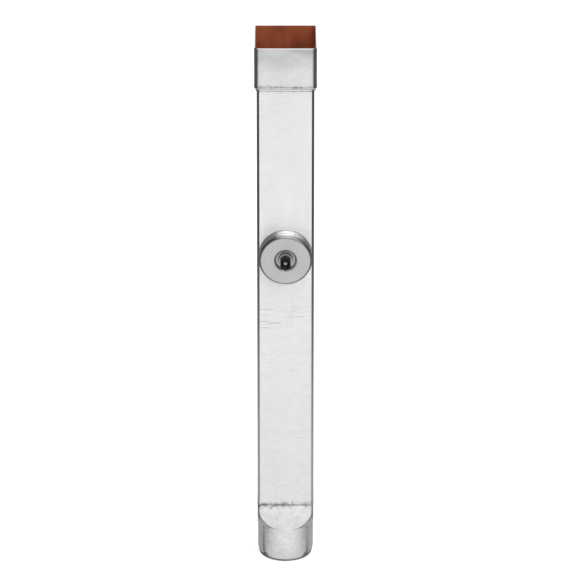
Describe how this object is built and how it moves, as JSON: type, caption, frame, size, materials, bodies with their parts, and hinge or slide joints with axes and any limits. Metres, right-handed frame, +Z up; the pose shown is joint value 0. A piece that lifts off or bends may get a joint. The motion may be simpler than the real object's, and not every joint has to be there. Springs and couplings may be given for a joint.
{
  "type": "square rainwater standpipe",
  "caption": "Square galvanised rainwater standpipe with a plug-in top socket, a round access opening closed by an expanding plug under a steel lid, and a reducer to a round spigot.",
  "frame": {"origin": "centre of the spigot's lower end, on the pipe's axis", "axes": "+Z up along the pipe's axis towards the socket, -Y out through the access opening, +X to the right when facing the lid"},
  "size_m": [0.1104, 0.15, 1],
  "materials": {
    "galvanised_steel": "hot-dip galvanised, satin with faint mottling",
    "weld_steel": "galvanised weld bead, rough",
    "inner_coat": "red-brown coating, semi-gloss",
    "stainless": "turned stainless steel",
    "plug_steel": "zinc-plated",
    "black_steel": "black oxide, semi-gloss",
    "rubber": "matte black rubber"
  },
  "bodies": {
    "pipe": {"square_pipe": "galvanised_steel", "top_socket": "galvanised_steel", "socket_weld": "weld_steel", "round_spigot": "galvanised_steel", "spigot_weld": "weld_steel", "inner_coating": "inner_coat", "access_collar": "galvanised_steel", "collar_weld": "weld_steel"},
    "lid": {"access_lid": "stainless", "lid_gasket": "rubber", "pressure_disc": "plug_steel", "expansion_ring": "rubber", "bolt_seal": "rubber", "bolt_washer": "plug_steel"},
    "nut": {"hex_nut": "black_steel"},
    "clamp": {"inner_disc": "plug_steel", "plug_bolt": "black_steel"}
  },
  "joints": [
    {"name": "plug_pull", "type": "slide", "parent": "pipe", "child": "lid", "axis": [0, -1, 0], "range_m": [0, 0.1]},
    {"name": "nut_turn", "type": "hinge", "parent": "lid", "child": "nut", "pos_m": [0, -0.0768, 0.61], "axis": [0, -1, 0], "range_deg": [0, 1450]},
    {"name": "clamp_release", "type": "slide", "parent": "lid", "child": "clamp", "axis": [0, 1, 0], "range_m": [0, 0.007]}
  ],
  "couplings": [
    {"joint": "nut_turn", "follows": "clamp_release", "rad_per_m": 3590.4}
  ]
}
